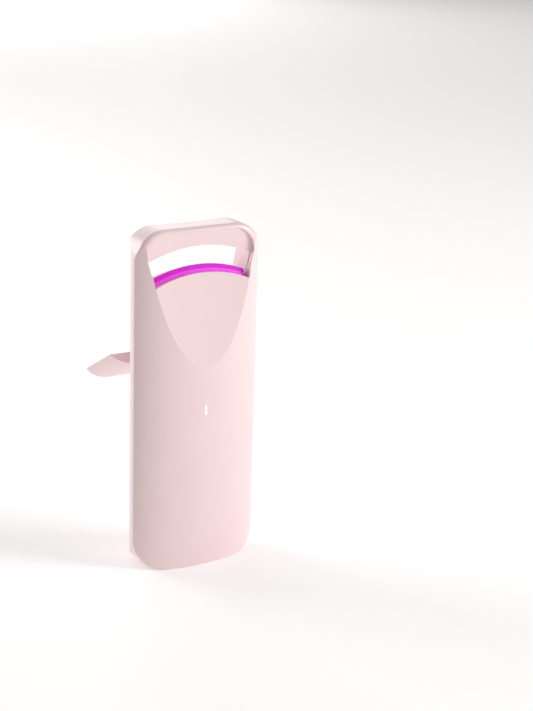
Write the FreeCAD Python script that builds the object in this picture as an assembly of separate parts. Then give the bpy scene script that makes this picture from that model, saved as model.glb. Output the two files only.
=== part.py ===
import FreeCAD, Part
import math
import os

# Heated eyelash curler with a fold-out squeeze lever, in millimetres.
# +Z is up along the body, -Y is the front with the scooped face, +Y is the back with the lever.
# The origin is on the flat base, 0.3 mm behind the parting plane of the two shells.

V = FreeCAD.Vector

# ---------------------------------------------------------------- driving dimensions
WIDTH = 40.0
HEIGHT = 100.0
FRONT_Y = -6.6                  # crown of the front dome
BACK_Y = 10.0                   # flat of the back
PARTING_Y = -0.3                # crease between front and rear shell
SIDE_FLAT = 0.5                 # straight side behind the crease
DOME_HALF = 21.0                # half axis of the front ellipse across X, cut off at the side
BACK_ROUND = 11.0               # width of the rear quarter ellipses across X
BACK_OVERRUN = 1.002            # the ellipses run this much wider, so they meet the side at a slight angle
CORNER_R = 8.5                  # outline corners
BACK_EDGE_R = 3.0
WALL = 1.5

SCOOP_TIP_Z = 60.0              # lowest point of the scooped face
SCOOP_SLOPE = 0.115             # how fast the scooped face leans back
PLATE = 1.3                     # thickness of the plate behind the scooped face

JAW_ARC_R = 40.0                # every lash arc has this radius
JAW_Y = -0.8                    # plane in which pad and fixed jaw meet
FRONT_ARC_Z = 87.1              # crown of the front plate's upper edge
BACK_ARC_Z = 86.7               # crown of the back plate's upper edge
FIXED_JAW_Z = 94.6              # crown of the fixed jaw's edge
PAD_TOP_Z = 89.1                # crown of the pad, jaw open
JAW_TRAVEL = 5.3
BLADE = 1.0                     # thickness of the fixed jaw at its edge
DISH_FLARE = 9.0                # the dish over the fixed jaw widens this much per millimetre forward
DISH_TOP_Z = 98.8
RIM_R = 1.6                     # soft rim where the leaning face meets the top

WINDOW_LOW_HALF = 15.1          # half width of the window at WINDOW_LOW_Z
WINDOW_LOW_Z = 84.0
WINDOW_HIGH_HALF = 16.9         # half width at WINDOW_HIGH_Z
WINDOW_HIGH_Z = 92.0
WINDOW_TOP_Z = 97.9             # top of the window as seen from the back
WINDOW_CORNER_R = 5.6

FLOOR_Y = 6.1                   # flat floor of the lever's recess
SHOULDER_Z = 80.0               # where the recess narrows to the channel
CHANNEL_HALF = 11.2
CHANNEL_LOW_Z = 68.7            # lower edge of the flat floor, just above the hinge barrel
POCKET_Y = 3.0                  # floor of the pocket round the hinge
POCKET_LOW_Z = 51.5
POCKET_LOW_HALF = 13.0
NOTCH_X = 5.3                   # centres of the two crank notches
NOTCH_HALF = 2.15
NOTCH_TOP_Z = 70.5

HINGE_Y = 6.7
HINGE_Z = 66.0
BARREL_R = 2.3
PIN_R = 0.8
RUNNING = 0.05                  # radial clearance of running fits
BARREL_HALF = 6.8               # half length of the crank's middle barrel
KNUCKLE_IN = 7.2                # the lever's knuckles run from here ...
KNUCKLE_OUT = 10.8              # ... to here
LEVER_GAP = 0.2                 # between the folded lever and its recess
LEVER_DROOP = 28.8              # angle of the open lever below level
SQUEEZE = 34.0                  # swing of the crank from open to closed
CRANK_R = JAW_TRAVEL / (2 * math.sin(math.radians(SQUEEZE / 2)))
CRANK_TIP_R = 1.1

GUIDE_X = 11.8                  # the carriage's two guide pins
GUIDE_Y = -0.2
GUIDE_R = 0.8
PIN_LOW_Z = 62.5
PIN_HIGH_Z = 78.5

SWITCH_Y = 4.1
SWITCH_Z = 58.0
SWITCH_SLOT = (2.8, 5.7)        # width and height of the slot
SWITCH_KNOB = (2.3, 3.6)
SWITCH_TRAVEL = 1.7

BOARD_Y = 1.2
BOARD_T = 1.0
LED_Z = 47.6
SLIT = (0.55, 2.8)              # width and height of the light slit
SOCKET = (8.9, 3.2, 7.4)        # width, depth and length of the charging socket
SOCKET_PLAY = 0.2
NAIL_HALF = 10.0                # slanted rest for a fingernail in the top's rear edge
NAIL_DEPTH = 0.8
PIN_HALF = 12.3                 # half length of the hinge pin


# ---------------------------------------------------------------- small helpers
def box(x0, x1, y0, y1, z0, z1):
    return Part.makeBox(x1 - x0, y1 - y0, z1 - z0, V(x0, y0, z0))


def rod(radius, start, end):
    axis = end - start
    return Part.makeCylinder(radius, axis.Length, start, axis)


def both_sides(shape):
    return [shape, shape.mirror(V(0, 0, 0), V(1, 0, 0))]


def outline_face(points):
    edges = Part.makePolygon([V(*p) for p in points] + [V(*points[0])])
    return Part.Face(edges)


def joined(shapes):
    whole = shapes[0].multiFuse(shapes[1:]) if len(shapes) > 1 else shapes[0]
    return whole.removeSplitter()


def write(node, shape):
    solids = shape if isinstance(shape, list) else [shape]
    made = Part.makeCompound(solids) if len(solids) > 1 else solids[0]
    bad = [s for s in made.Solids if not s.isValid()]
    print(node, "solids", len(made.Solids), "volume", round(made.Volume, 2), "BAD" if bad else "")
    made.exportStep(os.path.join("parts", node + ".step"))


def arc_disc(crown_z, y0, y1):
    """Cylinder along Y whose upper rim is a lash arc."""
    return Part.makeCylinder(JAW_ARC_R, y1 - y0, V(0, y0, crown_z - JAW_ARC_R), V(0, 1, 0))


def scoop_y(z, depth=0.0):
    """Y of the leaning scooped face, or of a plane behind it."""
    return FRONT_Y + SCOOP_SLOPE * (z - SCOOP_TIP_Z) + depth


def in_front_of_scoop(depth=0.0, z0=-5.0, z1=HEIGHT + 5.0):
    side = [(-30, -30, z0), (-30, scoop_y(z0, depth), z0), (-30, scoop_y(z1, depth), z1), (-30, -30, z1)]
    return outline_face(side).extrude(V(60, 0, 0))


# ---------------------------------------------------------------- the casing's outer and inner forms
def plan_form(inset):
    """The D-shaped plan: leaning-out front dome, crisp crease, short side, round-shouldered back."""
    half = WIDTH / 2 - inset
    cut = math.sqrt(1 - (WIDTH / 2 / DOME_HALF) ** 2)
    rise = (PARTING_Y - FRONT_Y) / (1 - cut)
    centre_y = FRONT_Y + rise
    dome = Part.Ellipse(V(0, centre_y, 0), DOME_HALF - inset, rise - inset)
    edge_angle = math.acos(half / (DOME_HALF - inset))
    front = Part.ArcOfEllipse(dome, math.pi + edge_angle, 2 * math.pi - edge_angle)
    left = front.value(front.FirstParameter)
    right = front.value(front.LastParameter)
    back_start = PARTING_Y + SIDE_FLAT
    flat_half = WIDTH / 2 - BACK_ROUND
    across = BACK_ROUND * BACK_OVERRUN - inset
    lead_in = math.acos((BACK_ROUND - inset) / across)
    depth = (BACK_Y - inset - back_start) / (1 - math.sin(lead_in))
    back_centre = BACK_Y - inset - depth
    right_ellipse = Part.Ellipse(V(flat_half, back_centre, 0), across, depth)
    left_ellipse = Part.Ellipse(V(-flat_half, back_centre, 0), across, depth)
    edges = [
        front.toShape(),
        Part.makeLine(right, V(half, back_start, 0)),
        Part.ArcOfEllipse(right_ellipse, lead_in, math.pi / 2).toShape(),
        Part.makeLine(V(flat_half, BACK_Y - inset, 0), V(-flat_half, BACK_Y - inset, 0)),
        Part.ArcOfEllipse(left_ellipse, math.pi / 2, math.pi - lead_in).toShape(),
        Part.makeLine(V(-half, back_start, 0), left),
    ]
    return Part.Face(Part.Wire(Part.__sortEdges__(edges)))


def front_outline(inset, back_edge=0.0):
    """Rounded rectangle in the XZ plane, pushed through along Y, with an optional soft back edge."""
    half = WIDTH / 2 - inset
    block = box(-half, half, -20, BACK_Y - inset, inset, HEIGHT - inset)
    corners = [e for e in block.Edges if e.BoundBox.YLength > 20]
    block = block.makeFillet(CORNER_R - inset, corners)
    if back_edge:
        rim = [e for e in block.Edges if e.BoundBox.YMin > BACK_Y - inset - 0.01]
        block = block.makeFillet(back_edge, rim)
    return block


def body_form(inset, back_edge=0.0):
    tall = plan_form(inset).extrude(V(0, 0, HEIGHT + 10))
    tall.translate(V(0, 0, -5))
    return tall.common(front_outline(inset, back_edge))


def window_form(half_low, half_high, top_z, corner, y0, y1):
    """Window outline with sides that flare upwards and round top corners, pushed from y0 to y1."""
    low_z = WINDOW_LOW_Z - 8
    slope = (half_high - half_low) / (WINDOW_HIGH_Z - WINDOW_LOW_Z)
    bottom_half = half_low + slope * (low_z - WINDOW_LOW_Z)
    points = [
        (-bottom_half, y0, low_z),
        (bottom_half, y0, low_z),
        (half_high, y0, WINDOW_HIGH_Z),
        (half_high, y0, top_z),
        (-half_high, y0, top_z),
        (-half_high, y0, WINDOW_HIGH_Z),
    ]
    block = outline_face(points).extrude(V(0, y1 - y0, 0))
    corners = [e for e in block.Edges if e.BoundBox.ZLength < 0.01 and e.BoundBox.ZMin > top_z - 0.01
               and e.BoundBox.YLength > 0.1 and e.BoundBox.XLength < 0.01]
    return block.makeFillet(corner, corners)


def window_opening(y0, y1, grow=0.0, top_z=WINDOW_TOP_Z):
    return window_form(WINDOW_LOW_HALF + grow, WINDOW_HIGH_HALF + grow, top_z, WINDOW_CORNER_R, y0, y1)


def hinge_turn(shape, degrees):
    """Turns a shape about the hinge axis; positive lowers what points forward of the hinge."""
    turned = shape.copy()
    turned.rotate(V(0, HINGE_Y, HINGE_Z), V(1, 0, 0), degrees)
    return turned


# ---------------------------------------------------------------- hollow inside the casing
INNER_TOP_Z = 79.3              # top of the main hollow; the carriage's well goes on above it
WELL_HALF = 15.2
WELL_FRONT_Y = -2.6
WELL_BACK_Y = FLOOR_Y - WALL
POCKET_WALL = 1.3
RAMP_TOP_Z = 61.0               # where the pocket's floor starts to slope out


def pocket_form(grow):
    """Pocket round the hinge: flat floor, ramp at the bottom, sides that flare downwards."""
    side = [
        (-30, POCKET_Y - grow, CHANNEL_LOW_Z + grow),
        (-30, POCKET_Y - grow, RAMP_TOP_Z - grow / 2),
        (-30, BACK_Y + 2 - grow, POCKET_LOW_Z - 2.0 - grow / 2),
        (-30, BACK_Y + 6, POCKET_LOW_Z - 2.0 - grow / 2),
        (-30, BACK_Y + 6, CHANNEL_LOW_Z + grow),
    ]
    front = [
        (-CHANNEL_HALF - grow, -30, CHANNEL_LOW_Z + grow),
        (-CHANNEL_HALF - grow, -30, 63.4),
        (-POCKET_LOW_HALF - grow, -30, POCKET_LOW_Z - 6),
        (POCKET_LOW_HALF + grow, -30, POCKET_LOW_Z - 6),
        (CHANNEL_HALF + grow, -30, 63.4),
        (CHANNEL_HALF + grow, -30, CHANNEL_LOW_Z + grow),
    ]
    return outline_face(side).extrude(V(60, 0, 0)).common(outline_face(front).extrude(V(0, 60, 0)))


def recess_form():
    """Everything the folded lever needs cleared from the back."""
    wide = box(-30, 30, FLOOR_Y, 30, SHOULDER_Z, HEIGHT + 10)
    channel = box(-CHANNEL_HALF, CHANNEL_HALF, FLOOR_Y, 30, CHANNEL_LOW_Z - 1, SHOULDER_Z + 1)
    notches = [box(side * NOTCH_X - NOTCH_HALF, side * NOTCH_X + NOTCH_HALF, 0.5, 8, 62.4, NOTCH_TOP_Z)
               for side in (-1, 1)]
    return wide.multiFuse([channel, pocket_form(0)] + notches)


def hollow_form():
    """Main hollow under the walls, with the carriage's well above it."""
    inner = body_form(WALL)
    inner = inner.common(box(-30, 30, -30, 30, -5, INNER_TOP_Z))
    inner = inner.cut(in_front_of_scoop(PLATE))
    inner = inner.cut(pocket_form(POCKET_WALL))
    behind = box(-CHANNEL_HALF - WALL, CHANNEL_HALF + WALL, WELL_BACK_Y, 30, CHANNEL_LOW_Z, HEIGHT)
    shoulders = box(-30, 30, WELL_BACK_Y, 30, SHOULDER_Z - 2.0, HEIGHT)
    inner = inner.cut(behind).cut(shoulders)
    well = box(-WELL_HALF, WELL_HALF, WELL_FRONT_Y, WELL_BACK_Y, INNER_TOP_Z - 1, 90)
    well = well.common(arc_disc(FRONT_ARC_Z + 1, -10, 10))
    return inner.fuse(well)


def stadium_prism(width, height, x0, x1, centre_z=SWITCH_Z):
    """Upright stadium of this width along Y and height along Z, pushed from x0 to x1."""
    half = width / 2
    reach = height / 2 - half
    ends = [rod(half, V(x0, SWITCH_Y, centre_z + end * reach), V(x1, SWITCH_Y, centre_z + end * reach))
            for end in (-1, 1)]
    middle = box(x0, x1, SWITCH_Y - half, SWITCH_Y + half, centre_z - reach, centre_z + reach)
    return joined([middle] + ends)


def slit_prism(width, height, y0, y1):
    half = width / 2
    reach = height / 2 - half
    ends = [rod(half, V(0, y0, LED_Z + end * reach), V(0, y1, LED_Z + end * reach)) for end in (-1, 1)]
    middle = box(-half, half, y0, y1, LED_Z - reach, LED_Z + reach)
    return joined([middle] + ends)


# ---------------------------------------------------------------- casing
SCREW_R = 0.8
CHASSIS_BACK_Y = -0.2
CHASSIS_FRONT_Y = -1.2
CHASSIS_SCREWS = [(side * 9.0, z) for side in (-1, 1) for z in (20.0, 38.0)]
BOARD_SCREWS = [(side * 13.0, z) for side in (-1, 1) for z in (12.0, 52.0)]


def leaning_form():
    """The outline block cut back to the leaning face, its rim softened all round."""
    block = front_outline(0).cut(in_front_of_scoop())
    rim = [e for e in block.Edges
           if all(abs(e.valueAt(at).y - scoop_y(e.valueAt(at).z)) < 0.001
                  for at in (e.FirstParameter, (e.FirstParameter + e.LastParameter) / 2, e.LastParameter))]
    return block.makeFillet(RIM_R, rim)


def front_shell(body, hollow):
    shell = body.common(box(-30, 30, -30, PARTING_Y, -5, HEIGHT + 5))
    shell = shell.common(leaning_form())
    shell = shell.cut(hollow)
    opening = window_opening(-20, PARTING_Y + 1).common(arc_disc(FIXED_JAW_Z, -21, 5))
    opening = opening.cut(arc_disc(FRONT_ARC_Z, -22, 6))
    shell = shell.cut(opening)
    edge_y = JAW_Y - BLADE / 2
    crown = V(0, edge_y, FIXED_JAW_Z - JAW_ARC_R)
    dish = Part.makeCone(JAW_ARC_R, JAW_ARC_R + DISH_FLARE * 8, 8, crown, V(0, -1, 0))
    dish = dish.common(window_form(WINDOW_LOW_HALF + 0.1, 17.2, DISH_TOP_Z, 6.6, -20, edge_y))
    dish = dish.common(box(-30, 30, -30, 30, 88.0, HEIGHT))
    shell = shell.cut(dish)
    for side in (-1, 1):
        for y0 in (-2.6, -1.5):
            rail = box(side * 16 - 3, side * 16 + 3, y0, y0 + 0.45, 80, 93)
            rail = rail.common(window_opening(-20, 5, 0.35))
            shell = shell.cut(rail.cut(window_opening(-21, 6)).common(arc_disc(FIXED_JAW_Z, -21, 5)))
    bosses = []
    for x, z in CHASSIS_SCREWS:
        boss = rod(2.0, V(x, FRONT_Y, z), V(x, CHASSIS_FRONT_Y, z)).common(body)
        bosses.append(boss.cut(rod(SCREW_R, V(x, -3.9, z), V(x, 0, z))))
    shell = joined([shell] + bosses)
    return shell.cut(slit_prism(SLIT[0], SLIT[1], -10, 0))


def rear_shell(body, hollow):
    shell = body.common(box(-30, 30, PARTING_Y, 30, -5, HEIGHT + 5))
    shell = shell.cut(hollow).cut(recess_form())
    opening = window_opening(PARTING_Y - 1, 20).cut(arc_disc(BACK_ARC_Z, -22, 22))
    shell = shell.cut(opening)
    nail_rest = [
        (-NAIL_HALF, FLOOR_Y - NAIL_DEPTH, HEIGHT),
        (-NAIL_HALF, FLOOR_Y + 0.1, HEIGHT - NAIL_DEPTH - 0.1),
        (-NAIL_HALF, FLOOR_Y + 0.1, HEIGHT + 0.1),
        (-NAIL_HALF, FLOOR_Y - NAIL_DEPTH, HEIGHT + 0.1),
    ]
    shell = shell.cut(outline_face(nail_rest).extrude(V(2 * NAIL_HALF, 0, 0)))
    width, depth, length = SOCKET
    face = BOARD_Y + BOARD_T
    half = width / 2 + SOCKET_PLAY
    mouth = box(-half, half, face - SOCKET_PLAY / 2, face + depth + SOCKET_PLAY / 2, -5, 5)
    shell = shell.cut(mouth.makeFillet(1.4, [e for e in mouth.Edges if e.BoundBox.ZLength > 9]))
    shell = shell.cut(stadium_prism(SWITCH_SLOT[0], SWITCH_SLOT[1], 15.0, 21.0))
    return shell.cut(rod(PIN_R, V(-PIN_HALF, HINGE_Y, HINGE_Z), V(PIN_HALF, HINGE_Y, HINGE_Z)))


def chassis():
    plate = box(-15.5, 15.5, CHASSIS_FRONT_Y, CHASSIS_BACK_Y, 8, 58)
    pieces = [plate]
    for side in (-1, 1):
        inner, outer = sorted((side * 14.4, side * 16.2))
        pieces.append(box(inner, outer, -1.6, 0.8, 56, 79))
        inner, outer = sorted((side * 9.9, side * 15.0))
        pieces.append(box(inner, outer, GUIDE_Y - 1.4, GUIDE_Y + 1.4, 62, 64))
        pieces.append(box(inner, outer, GUIDE_Y - 1.4, GUIDE_Y + 1.4, 77, 79))
    for x, z in BOARD_SCREWS:
        pieces.append(rod(1.9, V(x, CHASSIS_BACK_Y, z), V(x, BOARD_Y, z)))
    frame = joined(pieces)
    for x, z in BOARD_SCREWS:
        frame = frame.cut(rod(SCREW_R, V(x, -0.9, z), V(x, 5, z)))
    for x, z in CHASSIS_SCREWS:
        frame = frame.cut(rod(SCREW_R, V(x, -5, z), V(x, 5, z)))
    for pin in guide_pins():
        frame = frame.cut(pin)
    return frame.cut(slit_prism(2.4, 4.4, -10, 0))


def screws(places, head_y, length):
    """Small pan-head screws driven towards the front, with a cross slot."""
    made = []
    for x, z in places:
        shank = rod(SCREW_R, V(x, head_y - length, z), V(x, head_y + 0.1, z))
        head = rod(1.5, V(x, head_y, z), V(x, head_y + 0.8, z))
        screw = joined([shank, head])
        for half_x, half_z in ((0.9, 0.2), (0.2, 0.9)):
            slot = box(x - half_x, x + half_x, head_y + 0.4, head_y + 1, z - half_z, z + half_z)
            screw = screw.cut(slot)
        made.append(screw)
    return made


# ---------------------------------------------------------------- electrics
def circuit_board():
    board = box(-15.0, 15.0, BOARD_Y, BOARD_Y + BOARD_T, 4.5, 57.0)
    lug = box(13.2, 16.6, BOARD_Y, BOARD_Y + BOARD_T, 50.0, 64.5)
    board = joined([board, lug])
    for x, z in BOARD_SCREWS:
        board = board.cut(rod(SCREW_R, V(x, 0, z), V(x, 5, z)))
    return board


def board_parts():
    """Charger chip, controller, coil and flex connector, soldered on both faces of the board."""
    back = BOARD_Y + BOARD_T
    return [
        box(-8, -4, back, back + 0.9, 52.5, 56.0),
        box(-1, 3, back, back + 0.9, 52.5, 56.0),
        box(6, 9, back, back + 1.1, 52.8, 55.8),
        box(-11, -8, BOARD_Y - 0.9, BOARD_Y, 24, 27),
        box(4, 8, BOARD_Y - 1.0, BOARD_Y, 26, 31),
        box(-2.4, 2.4, BOARD_Y - 0.4, BOARD_Y, 52.0, 55.0),
    ]


def charge_socket():
    width, depth, length = SOCKET
    back = BOARD_Y + BOARD_T
    outer = box(-width / 2, width / 2, back, back + depth, 0.3, 0.3 + length)
    outer = outer.makeFillet(1.3, [e for e in outer.Edges if e.BoundBox.ZLength > length - 0.1])
    inner = box(-width / 2 + 0.3, width / 2 - 0.3, back + 0.3, back + depth - 0.3, 0, length)
    inner = inner.makeFillet(1.0, [e for e in inner.Edges if e.BoundBox.ZLength > length - 0.1])
    return outer.cut(inner)


def socket_tongue():
    width, depth, length = SOCKET
    middle = BOARD_Y + BOARD_T + depth / 2
    root = box(-3.6, 3.6, middle - 1.2, middle + 1.2, length - 1.6, length)
    blade = box(-3.35, 3.35, middle - 0.35, middle + 0.35, 1.2, length - 1.5)
    return joined([root, blade])


def battery():
    cell = box(-10.0, 10.0, 3.4, 7.6, 11.0, 49.0)
    return cell.makeFillet(1.2, [e for e in cell.Edges if e.BoundBox.ZLength > 30])


def battery_tape():
    return box(-5.0, 5.0, 7.6, BACK_Y - WALL, 16.0, 44.0)


def status_led():
    return box(-0.8, 0.8, BOARD_Y - 0.7, BOARD_Y, LED_Z - 0.8, LED_Z + 0.8)


def light_pipe():
    """Clear bar from the lamp to the slit in the front."""
    head = slit_prism(SLIT[0], SLIT[1], FRONT_Y + 0.03, -4.0)
    bar = slit_prism(1.5, 3.6, FRONT_Y + WALL + 0.2, BOARD_Y - 0.8)
    return joined([head, bar])


def switch_body():
    case = box(13.4, 16.2, 2.2, 4.4, 57.2, 63.8)
    slot = box(15.2, 17.0, 3.6, 5.0, SWITCH_Z - 2.4, SWITCH_Z + 2.4)
    return case.cut(slot)


def switch_knob():
    width, height = SWITCH_KNOB
    low_z = SWITCH_Z - SWITCH_TRAVEL / 2
    knob = stadium_prism(width, height, 16.45, 18.75, low_z)
    return knob


# ---------------------------------------------------------------- moving jaw
CARRIAGE_HALF = 14.7
SEAT_CROWN_Z = 86.5             # crown of the ledge behind the pad
PAD_HALF_Y = 1.5
PAD_DEPTH = 3.4
PLATE_T = 1.2
FILM_T = 0.2


def along_arc(points, crown_z, half_x):
    """Sweeps a section, given as (y from JAW_Y, z from the crown), along the lash arc."""
    centre = V(0, JAW_Y, crown_z - JAW_ARC_R)
    section = outline_face([(0, JAW_Y + y, crown_z + z) for y, z in points])
    angle = math.degrees(math.asin(half_x / JAW_ARC_R)) + 2
    section.rotate(centre, V(0, 1, 0), -angle)
    band = section.revolve(centre, V(0, 1, 0), 2 * angle)
    return band.common(box(-half_x, half_x, -30, 30, crown_z - 20, crown_z + 5))


def lash_pad():
    half = PAD_HALF_Y
    right = [(half, -PAD_DEPTH), (half, -1.95), (0.85, -1.15), (0.7, -0.25), (0.45, 0.0)]
    left = [(-y, z) for y, z in reversed(right)]
    return along_arc(right + left, PAD_TOP_Z, CARRIAGE_HALF - 0.1)


def flat_band(half_y, top, bottom, half_x):
    return along_arc([(half_y, bottom), (half_y, top), (-half_y, top), (-half_y, bottom)], PAD_TOP_Z, half_x)


def heater_plate():
    return flat_band(PAD_HALF_Y, -PAD_DEPTH, -PAD_DEPTH - PLATE_T, CARRIAGE_HALF - 0.6)


def heater_film():
    return flat_band(1.3, -PAD_DEPTH - PLATE_T, -PAD_DEPTH - PLATE_T - FILM_T, CARRIAGE_HALF - 1.2)


def thermal_sensor():
    low = PAD_TOP_Z - PAD_DEPTH - PLATE_T - FILM_T - 0.02
    return box(-0.9, 0.9, JAW_Y - 0.5, JAW_Y + 0.5, low - 0.6, low)


def crank_tip(turn):
    angle = math.radians(180 + turn)
    return HINGE_Y + CRANK_R * math.cos(angle), HINGE_Z + CRANK_R * math.sin(angle)


def jaw_carriage():
    front_y = JAW_Y - PAD_HALF_Y
    block = box(-CARRIAGE_HALF, CARRIAGE_HALF, front_y, 3.6, 79.7, 95)
    block = block.common(arc_disc(SEAT_CROWN_Z, -10, 10))
    seat = flat_band(PAD_HALF_Y + 0.02, 5, -PAD_DEPTH - PLATE_T, 20)
    block = block.cut(seat).cut(flat_band(1.32, 0, -PAD_DEPTH - PLATE_T - FILM_T, 20))
    block = block.cut(thermal_sensor())
    tip_y, tip_z = crank_tip(SQUEEZE / 2)
    mid_y = HINGE_Y - CRANK_R
    pieces = [block]
    for side in (-1, 1):
        inner, outer = sorted((side * 7.9, side * 9.4))
        pieces.append(box(inner, outer, GUIDE_Y - 1.4, GUIDE_Y + 1.4, 66, 82))
        inner, outer = sorted((side * 7.9, side * 14.0))
        pieces.append(box(inner, outer, GUIDE_Y - 1.4, GUIDE_Y + 1.4, 66, 68))
        inner, outer = sorted((side * (NOTCH_X - 1.7), side * (NOTCH_X + 1.7)))
        leg = box(inner, outer, mid_y - 1.6, tip_y + 1.4, tip_z - 1.9, tip_z + 3.0)
        leg = leg.fuse(box(inner, outer, front_y, GUIDE_Y + 1.4, tip_z + 2.3, 82))
        slot = box(inner - 1, outer + 1, mid_y - 1.25, 5, tip_z - 1.18, tip_z + 1.18)
        pieces.append(leg.cut(slot))
    bridge = box(-9.0, 9.0, -1.6, 1.2, 76, 80)
    pieces.append(bridge.cut(box(-2.2, 2.2, -3, 3, 70, 79.7)))
    whole = joined(pieces)
    for side in (-1, 1):
        at = side * GUIDE_X
        whole = whole.cut(rod(GUIDE_R + RUNNING, V(at, GUIDE_Y, 60), V(at, GUIDE_Y, 70)))
    return whole


def guide_pins():
    return both_sides(rod(GUIDE_R, V(GUIDE_X, GUIDE_Y, PIN_LOW_Z), V(GUIDE_X, GUIDE_Y, PIN_HIGH_Z)))


def return_springs():
    low, high, wire = 68.3, 76.7, 0.22
    made = []
    for side in (-1, 1):
        path = Part.makeHelix(1.55, high - low, 1.35)
        ring = Part.Wire(Part.makeCircle(wire, V(1.35, 0, 0), V(0, 1, 0)))
        coil = Part.Wire(path).makePipeShell([ring], True, True)
        coil.translate(V(side * GUIDE_X, GUIDE_Y, low))
        made.append(coil)
    return made


def heater_flex():
    return box(-1.5, 1.5, 0.45, 0.65, 55.0, 79.7)


# ---------------------------------------------------------------- crank, hinge and lever
def crank():
    """Middle barrel with two arms that reach in through the notches, drawn level, then turned to rest."""
    barrel = rod(BARREL_R, V(-BARREL_HALF, HINGE_Y, HINGE_Z), V(BARREL_HALF, HINGE_Y, HINGE_Z))
    pieces = [barrel]
    reach = HINGE_Y - CRANK_R
    for side in (-1, 1):
        x0 = side * NOTCH_X - 1.5
        arm = [
            (x0, HINGE_Y, HINGE_Z + 2.1),
            (x0, HINGE_Y - 2.6, HINGE_Z + 2.0),
            (x0, HINGE_Y - 6.0, HINGE_Z + 0.6),
            (x0, reach, HINGE_Z + 0.6),
            (x0, reach, HINGE_Z - 0.6),
            (x0, HINGE_Y - 5.0, HINGE_Z - 0.8),
            (x0, HINGE_Y, HINGE_Z - 2.1),
        ]
        pieces.append(outline_face(arm).extrude(V(3.0, 0, 0)))
        pieces.append(rod(CRANK_TIP_R, V(x0, reach, HINGE_Z), V(x0 + 3.0, reach, HINGE_Z)))
    level = joined(pieces)
    level = level.cut(rod(PIN_R + RUNNING, V(-20, HINGE_Y, HINGE_Z), V(20, HINGE_Y, HINGE_Z)))
    return hinge_turn(level, SQUEEZE / 2)


def hinge_pin():
    return rod(PIN_R, V(-PIN_HALF, HINGE_Y, HINGE_Z), V(PIN_HALF, HINGE_Y, HINGE_Z))


def hinge_washers():
    made = []
    for side in (-1, 1):
        inner = V(side * BARREL_HALF, HINGE_Y, HINGE_Z)
        outer = V(side * (BARREL_HALF + 0.3), HINGE_Y, HINGE_Z)
        made.append(rod(1.9, inner, outer).cut(rod(PIN_R + RUNNING, inner, outer)))
    return made


def lever(body):
    """Drawn folded into its recess, where it is the missing part of the back, then swung out."""
    face_y = FLOOR_Y + LEVER_GAP
    paddle = body.common(box(-30, 30, face_y, 30, SHOULDER_Z + LEVER_GAP, HEIGHT + 5))
    side = [
        (-30, face_y, HINGE_Z),
        (-30, face_y, SHOULDER_Z + 1),
        (-30, 20, SHOULDER_Z + 1),
        (-30, 20, HINGE_Z + 10.8),
        (-30, HINGE_Y + BARREL_R, HINGE_Z),
        (-30, HINGE_Y, HINGE_Z),
    ]
    neck = outline_face(side).extrude(V(60, 0, 0)).common(body)
    neck = neck.common(box(-KNUCKLE_OUT, KNUCKLE_OUT, -5, 30, 0, HEIGHT))
    barrel_room = rod(BARREL_R + 0.3, V(-KNUCKLE_IN, HINGE_Y, HINGE_Z), V(KNUCKLE_IN, HINGE_Y, HINGE_Z))
    neck = neck.cut(barrel_room)
    knuckles = both_sides(rod(BARREL_R, V(KNUCKLE_IN, HINGE_Y, HINGE_Z), V(KNUCKLE_OUT, HINGE_Y, HINGE_Z)))
    whole = joined([paddle, neck] + knuckles)
    whole = whole.cut(rod(PIN_R + RUNNING, V(-20, HINGE_Y, HINGE_Z), V(20, HINGE_Y, HINGE_Z)))
    return hinge_turn(whole, -(90 + LEVER_DROOP))


# ---------------------------------------------------------------- write every node
def build():
    os.makedirs("parts", exist_ok=True)
    body = body_form(0, BACK_EDGE_R)
    hollow = hollow_form()
    write("front_shell", front_shell(body, hollow))
    write("rear_shell", rear_shell(body, hollow))
    write("chassis", chassis())
    write("chassis_screws", screws(CHASSIS_SCREWS, CHASSIS_BACK_Y, 3.6))
    write("circuit_board", circuit_board())
    write("board_screws", screws(BOARD_SCREWS, BOARD_Y + BOARD_T, 3.0))
    write("board_parts", board_parts())
    write("charge_socket", charge_socket())
    write("socket_tongue", socket_tongue())
    write("battery", battery())
    write("battery_tape", battery_tape())
    write("status_led", status_led())
    write("light_pipe", light_pipe())
    write("switch_body", switch_body())
    write("switch_knob", switch_knob())
    write("guide_pins", guide_pins())
    write("return_springs", return_springs())
    write("heater_flex", heater_flex())
    write("jaw_carriage", jaw_carriage())
    write("heater_plate", heater_plate())
    write("heater_film", heater_film())
    write("thermal_sensor", thermal_sensor())
    write("lash_pad", lash_pad())
    write("crank", crank())
    write("hinge_pin", hinge_pin())
    write("hinge_washers", hinge_washers())
    write("lever", lever(body))


build()
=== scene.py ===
import math

import bmesh
import bpy
from mathutils import Matrix, Vector


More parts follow.
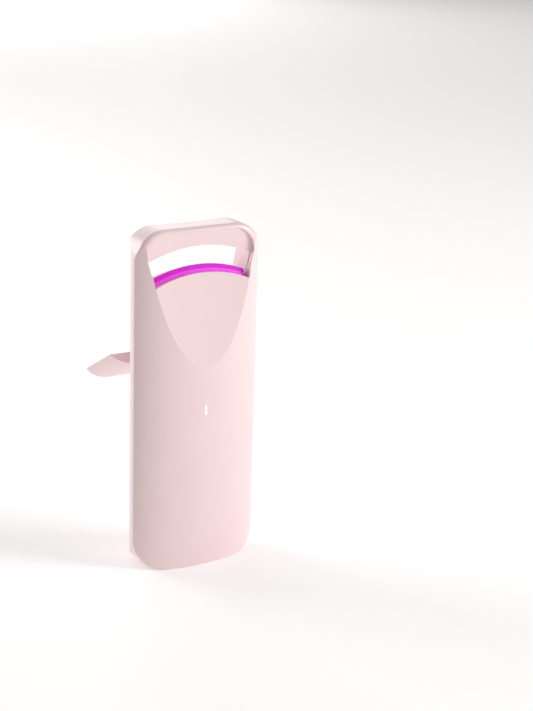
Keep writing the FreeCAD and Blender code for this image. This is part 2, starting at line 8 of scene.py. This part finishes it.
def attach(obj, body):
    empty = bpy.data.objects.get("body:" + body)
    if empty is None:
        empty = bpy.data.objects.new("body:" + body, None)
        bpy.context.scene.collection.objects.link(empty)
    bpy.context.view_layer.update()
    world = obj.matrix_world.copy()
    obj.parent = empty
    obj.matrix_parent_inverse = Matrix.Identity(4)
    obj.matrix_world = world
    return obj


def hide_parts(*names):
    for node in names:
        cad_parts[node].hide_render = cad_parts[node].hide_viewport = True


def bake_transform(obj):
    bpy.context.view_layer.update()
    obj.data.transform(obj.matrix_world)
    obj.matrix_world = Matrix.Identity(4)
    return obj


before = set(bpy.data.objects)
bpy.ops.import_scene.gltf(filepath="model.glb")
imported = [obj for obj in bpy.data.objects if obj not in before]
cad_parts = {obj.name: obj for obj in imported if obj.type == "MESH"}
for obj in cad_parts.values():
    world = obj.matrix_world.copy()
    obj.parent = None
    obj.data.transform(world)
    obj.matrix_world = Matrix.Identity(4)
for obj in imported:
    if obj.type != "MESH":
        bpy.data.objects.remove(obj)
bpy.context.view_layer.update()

# ------------------------------------------------------------------ front shell
# The curved front half of the casing, injection moulded in pale pink plastic and lacquered satin.
# Its scooped face leans back to the lash window; it clips on to the rear shell along the side crease.
PINK = (0.880, 0.694, 0.702, 1.0)
PINK_DEEP = (0.845, 0.634, 0.645, 1.0)
SHELL_EDGE = 0.00022
SHARP_TURN = math.radians(28)
FLAT_TURN = math.radians(0.35)
CRISP_TURN = math.radians(5)
SMOOTH_TURN = math.radians(34)
JOIN_GAP = 0.000002
CUT_GAP = 0.000001
SCOOP_TIP_Z = 0.060
SCOOP_SLOPE = 0.115
SCOOP_HALF = 0.018
SCOOP_FADE_Z = 0.094            # the hollow runs out to nothing up here
SCOOP_FADE = 0.005
SCOOP_STEPS = 18
SCOOP_HOLLOW_R = 0.200
SCOOP_FACING = Vector((0, -1, SCOOP_SLOPE)).normalized()
SCOOP_MATCH = math.cos(math.radians(0.5))
DOME_HALF = 0.021
DOME_RISE = 0.00906


class Wire:
    """One output of a finish's pattern, which can be used in sums."""

    def __init__(self, finish, socket):
        self.finish = finish
        self.socket = socket

    def sum_with(self, operation, first, second):
        return self.finish.node("Math", {"operation": operation}, {0: first, 1: second})

    def __add__(self, other):
        return self.sum_with("ADD", self, other)

    def __radd__(self, other):
        return self.sum_with("ADD", other, self)

    def __sub__(self, other):
        return self.sum_with("SUBTRACT", self, other)

    def __rsub__(self, other):
        return self.sum_with("SUBTRACT", other, self)

    def __mul__(self, other):
        return self.sum_with("MULTIPLY", self, other)

    def __rmul__(self, other):
        return self.sum_with("MULTIPLY", other, self)

    def __pow__(self, other):
        return self.sum_with("POWER", self, other)


class Finish:
    """A material built from nodes round one principled shader."""

    def __init__(self, name, **constants):
        self.material = bpy.data.materials.new(name)
        self.material.use_nodes = True
        self.tree = self.material.node_tree
        self.tree.nodes.clear()
        self.shader = self.tree.nodes.new("ShaderNodeBsdfPrincipled")
        output = self.tree.nodes.new("ShaderNodeOutputMaterial")
        self.tree.links.new(self.shader.outputs["BSDF"], output.inputs["Surface"])
        for socket, value in constants.items():
            self.set(socket.replace("_", " "), value)

    def node(self, kind, settings=None, inputs=None, output=0):
        made = self.tree.nodes.new("ShaderNode" + kind)
        settings = dict(settings or {})
        stops = settings.pop("stops", None)
        for name, value in settings.items():
            setattr(made, name, value)
        if stops:
            ramp = made.color_ramp.elements
            while len(ramp) < len(stops):
                ramp.new(0.5)
            for element, (place, colour) in zip(ramp, stops):
                element.position = place
                element.color = colour
        for name, value in (inputs or {}).items():
            self.join(made.inputs[name], value)
        return Wire(self, made.outputs[output])

    def join(self, socket, value):
        if isinstance(value, Wire):
            self.tree.links.new(value.socket, socket)
        else:
            socket.default_value = value

    def set(self, name, value):
        self.join(self.shader.inputs[name], value)

    def place(self):
        return self.node("TexCoord", output="Object")

    def noise(self, scale, detail=3.0, stretch=(1, 1, 1), rough=0.5):
        at = self.node("Mapping", inputs={"Vector": self.place(), "Scale": stretch})
        return self.node("TexNoise", inputs={"Vector": at, "Scale": scale, "Detail": detail,
                                             "Roughness": rough})

    def height(self):
        return self.node("SeparateXYZ", inputs={"Vector": self.place()}, output="Z")

    def ramp(self, value, low, high, start=0.0, end=1.0):
        return self.node("MapRange", {"clamp": True},
                         {"Value": value, "From Min": low, "From Max": high,
                          "To Min": start, "To Max": end})

    def blend(self, share, first, second):
        return self.node("Mix", {"data_type": "RGBA"}, {0: share, 6: first, 7: second}, output=2)

    def bump(self, height, depth, strength=1.0):
        bumped = self.node("Bump", inputs={"Height": height, "Distance": depth, "Strength": strength})
        self.set("Normal", bumped)


def lacquered_plastic(name, light, deep, rough=0.30):
    """Moulded plastic under a thin satin lacquer: faint mottling, orange peel, scuffs near the base."""
    finish = Finish(name, Coat_Roughness=0.22, Specular_IOR_Level=0.36, Subsurface_Weight=0.05,
                    Subsurface_Radius=(0.004, 0.002, 0.002), Subsurface_Scale=0.3)
    cloud = finish.noise(70.0, 2.0)
    grain = finish.noise(2600.0, 2.0)
    peel = finish.noise(900.0, 1.0)
    scratch = finish.noise(420.0, 4.0, stretch=(1.0, 1.0, 0.12))
    base_rub = finish.ramp(finish.height(), 0.0, 0.004, 1.0, 0.0)
    scuff = finish.ramp(finish.noise(1500.0, 4.0), 0.52, 0.68) * base_rub
    mottle = finish.ramp(cloud, 0.25, 0.75) * 0.35
    finish.set("Base Color", finish.blend(mottle + scuff * 0.4, light, deep))
    finish.set("Roughness", rough + cloud * 0.06 + finish.ramp(scratch, 0.55, 0.75) * 0.05 + scuff * 0.2)
    finish.set("Coat Weight", 0.22 - scuff * 0.15)
    finish.bump(peel + grain * 0.35, 0.0000035, 0.6)
    return finish.material


def hollow_scoop(work):
    """Cuts the scooped face into a grid and presses it in along the middle, its outline held."""
    mark = work.faces.layers.int.new("scoop")
    for face in work.faces:
        face[mark] = int(face.normal.dot(SCOOP_FACING) > SCOOP_MATCH)
    for axis, first, last in ((0, -SCOOP_HALF, SCOOP_HALF), (2, SCOOP_TIP_Z, SCOOP_FADE_Z)):
        for step in range(1, SCOOP_STEPS):
            at = Vector((0, 0, 0))
            at[axis] = first + (last - first) * step / SCOOP_STEPS
            facing = Vector((0, 0, 0))
            facing[axis] = 1.0
            parts = set()
            for face in work.faces:
                if face[mark]:
                    parts.add(face)
                    parts.update(face.edges)
                    parts.update(face.verts)
            bmesh.ops.bisect_plane(work, geom=list(parts), dist=CUT_GAP, plane_co=at, plane_no=facing)
    for vert in {v for f in work.faces if f[mark] for v in f.verts}:
        lean = 1 - SCOOP_SLOPE * (vert.co.z - SCOOP_TIP_Z) / DOME_RISE
        room = DOME_HALF ** 2 * (1 - lean ** 2) - vert.co.x ** 2
        fade = min(1.0, max(0.0, (SCOOP_FADE_Z - vert.co.z) / SCOOP_FADE))
        vert.co.y += fade * max(0.0, room) / (2 * SCOOP_HOLLOW_R)
    return mark


def moulded_copy(node, name, material, edge=SHELL_EDGE, shape=None):
    """A copy of a node's mesh, its faces joined up and its sharp edges eased by the mould's radius."""
    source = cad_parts[node]
    work = bmesh.new()
    work.from_mesh(source.data)
    bmesh.ops.remove_doubles(work, verts=work.verts, dist=JOIN_GAP)
    bmesh.ops.dissolve_limit(work, angle_limit=FLAT_TURN, verts=work.verts, edges=work.edges,
                             delimit={"NORMAL"})
    mark = shape(work) if shape else None
    if edge:
        sharp = [e for e in work.edges if e.is_manifold and e.calc_face_angle(0.0) > SHARP_TURN]
        bmesh.ops.bevel(work, geom=sharp, offset=edge, offset_type="OFFSET", segments=2, profile=0.5,
                        affect="EDGES", clamp_overlap=True, material=-1)
    work.edges.index_update()
    crisp = []
    if shape:
        crisp = [e.index for e in work.edges if e.is_manifold and e.calc_face_angle(0.0) > CRISP_TURN
                 and e.link_faces[0][mark] != e.link_faces[1][mark]]
    mesh = bpy.data.meshes.new(name)
    work.to_mesh(mesh)
    work.free()
    piece = bpy.data.objects.new(name, mesh)
    bpy.context.scene.collection.objects.link(piece)
    mesh.shade_smooth()
    mesh.set_sharp_from_angle(angle=SMOOTH_TURN)
    for index in crisp:
        mesh.edges[index].use_edge_sharp = True
    mesh.materials.clear()
    mesh.materials.append(material)
    weighted = piece.modifiers.new("even_shading", "WEIGHTED_NORMAL")
    weighted.keep_sharp = True
    weighted.weight = 50
    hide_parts(node)
    return piece


shell_finish = lacquered_plastic("shell_lacquer", PINK, PINK_DEEP)
front = moulded_copy("front_shell", "front_cover", shell_finish, shape=hollow_scoop)
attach(front, "casing")

# ------------------------------------------------------------------ rear shell
# The back half of the casing, moulded in the same pink, with the flat recess, the channel and the deep
# pocket for the lever. It carries the hinge pin and the slot of the power switch.
rear = moulded_copy("rear_shell", "rear_cover", shell_finish)
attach(rear, "casing")

# ------------------------------------------------------------------ jaw carriage, heater and lash pad
# The rising jaw: a moulded carriage that runs on two steel pins, with the aluminium heater plate, its
# film and sensor on top, and the magenta silicone pad pressed over them.
# The paler magenta is painted light on the pad's lit shoulders; the darker magenta on its ridge top is
# painted shade.
MAGENTA = (0.66, 0.008, 0.61, 1.0)
MAGENTA_PAINTED_LIT = (0.93, 0.10, 0.87, 1.0)
ARC_CENTRE_Z = 0.0491           # the pad's arc is struck from here
RIDGE_FOOT_R = 0.03895          # where the ridge stands up from the shoulders


def soft_silicone():
    """Moulded silicone: matt, a little light passes through it, dust-fine grain; shoulders painted paler
    as painted light, ridge darker as painted shade.
    """
    finish = Finish("pad_silicone", Subsurface_Weight=0.25, Subsurface_Radius=(0.003, 0.0008, 0.0025),
                    Subsurface_Scale=0.3, Specular_IOR_Level=0.22)
    grain = finish.noise(3200.0, 3.0)
    cloud = finish.noise(260.0, 2.0)
    across = finish.node("SeparateXYZ", inputs={"Vector": finish.place()}, output="X")
    up = finish.height() - ARC_CENTRE_Z
    out = (across * across + up * up) ** 0.5
    # Painted light: inside the ridge's foot radius the shoulders get the paler magenta; the ridge top
    # keeps the darker magenta as painted shade. The cloud adds real random tone.
    painted_lit_shoulder = finish.ramp(out, RIDGE_FOOT_R - 0.0001, RIDGE_FOOT_R + 0.0001, 0.85, 0.0)
    share = painted_lit_shoulder + finish.ramp(cloud, 0.3, 0.7) * 0.15
    finish.set("Base Color", finish.blend(share, MAGENTA, MAGENTA_PAINTED_LIT))
    finish.set("Roughness", 0.40 + grain * 0.16)
    finish.bump(grain, 0.000004, 0.7)
    return finish.material


carriage_finish = lacquered_plastic("carriage_plastic", PINK, PINK_DEEP, rough=0.36)
carriage = moulded_copy("jaw_carriage", "lash_carriage", carriage_finish, edge=0.00012)
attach(carriage, "jaw")
pad = moulded_copy("lash_pad", "lash_cushion", soft_silicone(), edge=0.00025)
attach(pad, "jaw")

# ------------------------------------------------------------------ crank
# The short moulded piece under the lever: its barrel turns on the hinge pin and its two round tips
# push the carriage up through slots.
crank_piece = moulded_copy("crank", "crank_arm", shell_finish, edge=0.00015)
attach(crank_piece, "crank")

# ------------------------------------------------------------------ lever
# The squeeze lever is the missing part of the casing's back: flat inside, domed outside, moulded in the
# same pink. Folded up it closes the recess; folded out a thumb presses it.
lever_finish = lacquered_plastic("lever_lacquer", PINK, PINK_DEEP, rough=0.34)
lever_piece = moulded_copy("lever", "squeeze_lever", lever_finish)
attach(lever_piece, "lever")

# ------------------------------------------------------------------ power switch
# A small moulded knob that slides in a round-ended slot at the side of the back, over a bought switch.
knob = moulded_copy("switch_knob", "power_knob", lacquered_plastic("knob_lacquer", PINK, PINK_DEEP, 0.4),
                    edge=0.0001)
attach(knob, "switch")


# ------------------------------------------------------------------ plain inner plastics
# The white chassis and the black socket and switch bodies are moulded in nylon and left unpainted.
def bare_plastic(name, colour, shade, rough):
    """Unpainted moulded nylon, spark-textured."""
    finish = Finish(name, Specular_IOR_Level=0.4)
    grain = finish.noise(2200.0, 3.0)
    cloud = finish.noise(150.0, 2.0)
    finish.set("Base Color", finish.blend(finish.ramp(cloud, 0.3, 0.7), colour, shade))
    finish.set("Roughness", rough + grain * 0.15)
    finish.bump(grain, 0.000006, 0.8)
    return finish.material


def dress(nodes, material):
    """Gives CAD nodes that keep their shape a finish."""
    for node in nodes:
        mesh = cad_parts[node].data
        mesh.materials.clear()
        mesh.materials.append(material)


dress(["chassis"], bare_plastic("white_nylon", (0.74, 0.73, 0.71, 1), (0.68, 0.67, 0.64, 1), 0.42))
dress(["switch_body", "socket_tongue"],
      bare_plastic("black_nylon", (0.016, 0.016, 0.018, 1), (0.028, 0.028, 0.03, 1), 0.38))


# ------------------------------------------------------------------ steel, spring and aluminium pieces
# Turned pins, washers and screws, the stamped socket can, wound springs and the sawn heater plate.
def metal(name, colour, shade, rough, stretch):
    """Bare metal with the fine lines of its making."""
    finish = Finish(name, Metallic=1.0)
    lines = finish.noise(1800.0, 3.0, stretch=stretch)
    cloud = finish.noise(220.0, 3.0)
    finish.set("Base Color", finish.blend(finish.ramp(cloud, 0.35, 0.7), colour, shade))
    finish.set("Roughness", rough + lines * 0.18)
    finish.bump(lines, 0.0000018, 0.8)
    return finish.material


turned_steel = metal("turned_steel", (0.60, 0.60, 0.61, 1), (0.50, 0.50, 0.51, 1), 0.20, (0.05, 1, 1))
dress(["guide_pins", "hinge_pin", "hinge_washers", "chassis_screws", "board_screws", "charge_socket"],
      turned_steel)
dress(["heater_plate"],
      metal("sawn_aluminium", (0.76, 0.76, 0.77, 1), (0.66, 0.66, 0.67, 1), 0.3, (0.1, 1, 1)))


# ------------------------------------------------------------------ electrics
# The board, its chips, the heater's film and flex, the pouch cell and its foam tape sit inside.
def circuit_finish():
    """Green solder mask with faint tracks under it."""
    finish = Finish("solder_mask", Coat_Roughness=0.15)
    tracks = finish.node("TexBrick", {"offset": 0.5},
                         {"Vector": finish.place(), "Scale": 600.0, "Mortar Size": 0.03,
                          "Color1": (0, 0, 0, 1), "Color2": (0, 0, 0, 1), "Mortar": (1, 1, 1, 1)})
    cloud = finish.noise(300.0, 2.0)
    finish.set("Base Color", finish.blend(tracks * 0.7, (0.008, 0.075, 0.025, 1), (0.03, 0.19, 0.07, 1)))
    finish.set("Roughness", 0.3 + cloud * 0.1)
    finish.set("Coat Weight", 0.5)
    return finish.material


def film_finish(name, colour, shade, rough):
    """Thin plastic film or foil with a crinkled gloss."""
    finish = Finish(name, Specular_IOR_Level=0.5)
    crinkle = finish.noise(500.0, 4.0)
    finish.set("Base Color", finish.blend(finish.ramp(crinkle, 0.3, 0.7), colour, shade))
    finish.set("Roughness", rough + crinkle * 0.2)
    finish.bump(crinkle, 0.00003, 0.5)
    return finish.material


dress(["circuit_board"], circuit_finish())
dress(["board_parts", "thermal_sensor"], bare_plastic("chip_resin", (0.018, 0.018, 0.02, 1),
                                                    (0.03, 0.03, 0.032, 1), 0.5))
dress(["heater_film"], film_finish("amber_film", (0.46, 0.14, 0.015, 1), (0.6, 0.22, 0.03, 1), 0.25))
dress(["battery"], film_finish("cell_foil", (0.55, 0.56, 0.58, 1), (0.45, 0.46, 0.48, 1), 0.22))
dress(["battery_tape"],
      bare_plastic("black_foam", (0.02, 0.02, 0.022, 1), (0.035, 0.035, 0.037, 1), 0.8))


def stretching_copy(node, name, material):
    """A copy of a node that sits between casing and jaw, its placement baked into its mesh."""
    piece = moulded_copy(node, name, material, edge=0)
    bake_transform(piece)
    return piece


stretching_copy("return_springs", "return_coils", metal("spring_wire", (0.5, 0.5, 0.52, 1),
                (0.42, 0.42, 0.44, 1), 0.25, (1, 1, 0.2)))
stretching_copy("heater_flex", "heater_ribbon", film_finish("amber_flex", (0.44, 0.13, 0.012, 1),
                (0.58, 0.21, 0.03, 1), 0.3))


# ------------------------------------------------------------------ status light
# A lamp on the board and the clear rod that carries its light to the slit in the front.
LAMP_GLOW = 0.5


def lamp_finish():
    """Milky diffuser, lit."""
    finish = Finish("lit_diffuser", Emission_Strength=LAMP_GLOW)
    cloud = finish.noise(900.0, 2.0)
    finish.set("Base Color", finish.blend(cloud, (0.93, 0.92, 0.9, 1), (0.98, 0.97, 0.95, 1)))
    finish.set("Emission Color", finish.blend(cloud, (1.0, 0.98, 0.96, 1), (0.95, 0.93, 0.91, 1)))
    finish.set("Roughness", 0.25 + cloud * 0.1)
    return finish.material


lamp = lamp_finish()
dress(["status_led", "light_pipe"], lamp)

# ------------------------------------------------------------------ floor, light and camera
# A plain pale studio floor, a strong soft light from the right, weaker ones from the left, from above
# and from far behind, and the camera a little above the object, looking down on it.
FLOOR_HALF = 3.0
FLOOR_GLOW = 0.22
WORLD_STRENGTH = 0.28
LIGHT_TARGET = Vector((0, 0, 0.05))
CAMERA_AT = (-0.22725, -0.38862, 0.19935)
CAMERA_YAW = math.radians(32.9)
CAMERA_PITCH = math.radians(16.90)
CAMERA_ROLL = math.radians(1.71)
CAMERA_LENS = 83.38
SENSOR = 36.0

scene = bpy.context.scene
scene.view_settings.view_transform = "Standard"

floor_mesh = bpy.data.meshes.new("studio_floor")
work = bmesh.new()
bmesh.ops.create_grid(work, x_segments=1, y_segments=1, size=FLOOR_HALF)
work.to_mesh(floor_mesh)
work.free()
floor = bpy.data.objects.new("studio_floor", floor_mesh)
scene.collection.objects.link(floor)
floor_finish = Finish("studio_paper", Specular_IOR_Level=0.2, Emission_Strength=FLOOR_GLOW)
paper = floor_finish.noise(40.0, 2.0)
floor_finish.set("Base Color", floor_finish.blend(paper, (0.90, 0.895, 0.89, 1), (0.92, 0.915, 0.91, 1)))
floor_finish.set("Emission Color",
                 floor_finish.blend(paper, (1.0, 0.99, 0.99, 1), (0.97, 0.96, 0.96, 1)))
floor_finish.set("Roughness", 0.7 + paper * 0.1)
floor_mesh.materials.append(floor_finish.material)

world = bpy.data.worlds.new("studio")
world.use_nodes = True
world.node_tree.nodes["Background"].inputs["Color"].default_value = (1.0, 0.985, 0.98, 1)
world.node_tree.nodes["Background"].inputs["Strength"].default_value = WORLD_STRENGTH
scene.world = world

forward = Vector((math.sin(CAMERA_YAW), math.cos(CAMERA_YAW), 0))
across = Vector((math.cos(CAMERA_YAW), -math.sin(CAMERA_YAW), 0))


def soft_light(name, side, back, rise, size, power, colour=(1, 1, 1)):
    """A square soft box aimed at the middle of the object."""
    lamp_data = bpy.data.lights.new(name, "AREA")
    lamp_data.size = size
    lamp_data.energy = power
    lamp_data.color = colour
    light = bpy.data.objects.new(name, lamp_data)
    scene.collection.objects.link(light)
    spot = LIGHT_TARGET + across * side + forward * back + Vector((0, 0, rise))
    aim = (spot - LIGHT_TARGET).to_track_quat("Z", "Y").to_matrix().to_4x4()
    light.matrix_world = Matrix.Translation(spot) @ aim


soft_light("key", 0.93, -0.12, 0.40, 0.45, 7.0, (1, 0.985, 0.98))
soft_light("rim", -0.80, 0.42, 0.28, 0.50, 4.6)
soft_light("top", -0.25, -0.30, 1.1, 0.9, 1.6)
soft_light("backdrop", -0.60, 1.70, 0.70, 1.40, 10.0)

level_up = forward * math.sin(CAMERA_PITCH) + Vector((0, 0, math.cos(CAMERA_PITCH)))
view_back = Vector((0, 0, math.sin(CAMERA_PITCH))) - forward * math.cos(CAMERA_PITCH)
right_axis = across * math.cos(CAMERA_ROLL) + level_up * math.sin(CAMERA_ROLL)
up_axis = level_up * math.cos(CAMERA_ROLL) - across * math.sin(CAMERA_ROLL)
camera_data = bpy.data.cameras.new("camera")
camera_data.sensor_fit = "VERTICAL"
camera_data.sensor_height = SENSOR
camera_data.lens = CAMERA_LENS
camera_data.clip_start = 0.01
camera = bpy.data.objects.new("camera", camera_data)
scene.collection.objects.link(camera)
turn = Matrix((right_axis, up_axis, view_back)).transposed()
camera.matrix_world = Matrix.Translation(CAMERA_AT) @ turn.to_4x4()
scene.camera = camera
